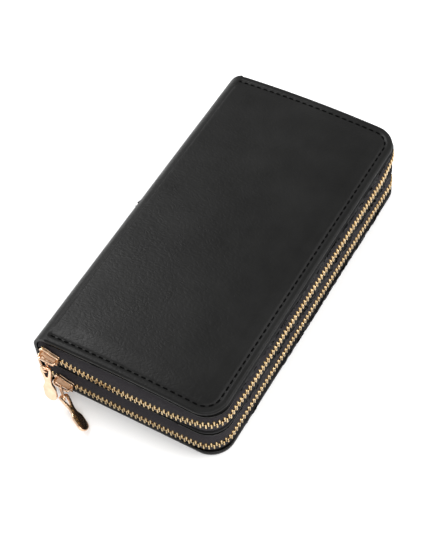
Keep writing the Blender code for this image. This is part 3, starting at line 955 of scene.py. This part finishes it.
def inside():
    for k in (1, 2, 3):
        softened(f"lower_card_panel_{k}", "base", LINING_SKIN, SOFT_EDGE)
        softened(f"upper_card_panel_{k}", "lid", LINING_SKIN, SOFT_EDGE)
    for node_name in ("note_pocket_panel", "coin_pocket_back", "coin_pocket_front"):
        softened(node_name, "divider", LINING_SKIN, SOFT_EDGE)
    cloth = softened("coin_zip_tape", "divider", TAPE_CLOTH, 0.2 * MM)
    weave = cloth.data.uv_layers.new(name="weave")
    for loop in cloth.data.loops:
        x, y, _ = cloth.data.vertices[loop.vertex_index].co
        weave.data[loop.index].uv = (y, x)
    softened("coin_zip_slider", "coin_slider", FITTING_METAL, SOFT_EDGE)
    softened("coin_zip_puller", "coin_puller", FITTING_METAL, SOFT_EDGE)
    for prefix, (lower_body, upper_body) in ZIP_BODIES.items():
        softened(prefix + "_zip_lower_stop", lower_body, TEETH_METAL, SOFT_EDGE)
        softened(prefix + "_zip_upper_stop", upper_body, TEETH_METAL, SOFT_EDGE)
    coin_teeth()


FINISHES = {
    "outer_leather": LEATHER_SKIN, "lining_leather": LINING_SKIN, "stiffener_board": BOARD,
    "zip_tape": TAPE_CLOTH, "zip_teeth": TEETH_METAL, "zip_fittings": FITTING_METAL,
}


def finish_cad_nodes():
    slots = {part["node"]: part["material_slot"] for part in frame["record"]["subparts"]}
    for name, thing in frame["nodes"].items():
        thing.data.materials.clear()
        thing.data.materials.append(FINISHES[slots[name]])


# ---- floor, light and camera ----

FLOOR_HALF = 3.0
FLOOR_LEVEL = -0.05 * MM
WORLD_STRENGTH = 0.7
# name, place, what it points at, size and power
LIGHTS = (
    ("key", (-0.75, 0.12, 0.85), (-0.04, -0.06, 0), 0.5, 9),
    ("fill", (0.7, -0.75, 1.0), (0, 0, 0), 0.9, 9),
    ("side", (0.9, 0.35, 0.8), (0.1, 0.02, 0), 1.0, 10),
)
CAMERA_AZIMUTH = math.radians(35.19)
CAMERA_ELEVATION = math.radians(53.84)
CAMERA_ROLL = math.radians(-6.34)
CAMERA_AWAY = 0.7228
CAMERA_ASIDE = -0.0074
CAMERA_UP = 0.0044
CAMERA_LENS = 92.03


def plain(name, color, rough):
    made, _, shader = new_material(name)
    shader.inputs["Base Color"].default_value = (*color, 1)
    shader.inputs["Roughness"].default_value = rough
    return made


def stage():
    mesh = bpy.data.meshes.new("floor")
    corners = [(x * FLOOR_HALF, y * FLOOR_HALF, FLOOR_LEVEL) for x, y in ((-1, -1), (1, -1), (1, 1), (-1, 1))]
    mesh.from_pydata(corners, [], [(0, 1, 2, 3)])
    floor = bpy.data.objects.new("floor", mesh)
    bpy.context.scene.collection.objects.link(floor)
    mesh.materials.append(plain("floor", (0.95, 0.95, 0.95), 0.9))


def area_light(name, place, target, size, power):
    data = bpy.data.lights.new(name, "AREA")
    data.energy = power
    data.shape = "RECTANGLE"
    data.size = size
    data.size_y = size
    lamp = bpy.data.objects.new(name, data)
    bpy.context.scene.collection.objects.link(lamp)
    lamp.location = place
    lamp.rotation_euler = (Vector(target) - Vector(place)).to_track_quat("-Z", "Y").to_euler()


def lights():
    world = bpy.data.worlds.new("studio")
    bpy.context.scene.world = world
    world.use_nodes = True
    background = world.node_tree.nodes["Background"]
    background.inputs["Color"].default_value = (1, 1, 1, 1)
    background.inputs["Strength"].default_value = WORLD_STRENGTH
    for light in LIGHTS:
        area_light(*light)
    bpy.context.scene.view_settings.view_transform = "Standard"


def camera():
    """The camera, turned and moved to the view of the wallet lying on its bottom cover."""
    level = math.cos(CAMERA_ELEVATION)
    back = Vector((
        math.sin(CAMERA_AZIMUTH) * level, -math.cos(CAMERA_AZIMUTH) * level, math.sin(CAMERA_ELEVATION),
    ))
    across = Vector((0, 0, 1)).cross(back).normalized()
    up = back.cross(across)
    side = across * math.cos(CAMERA_ROLL) + up * math.sin(CAMERA_ROLL)
    top = -across * math.sin(CAMERA_ROLL) + up * math.cos(CAMERA_ROLL)
    data = bpy.data.cameras.new("camera")
    data.lens = CAMERA_LENS
    data.clip_start = 0.01
    made = bpy.data.objects.new("camera", data)
    bpy.context.scene.collection.objects.link(made)
    place = back * CAMERA_AWAY + side * CAMERA_ASIDE + top * CAMERA_UP
    turn = Matrix((side, top, back)).transposed().to_4x4()
    made.matrix_world = Matrix.Translation(place) @ turn
    bpy.context.scene.camera = made


camera()
stage()
lights()
finish_cad_nodes()
covers()
linings()
zips()
inside()
fittings("lower", LOWER_WAYS)
fittings("upper", UPPER_WAYS)
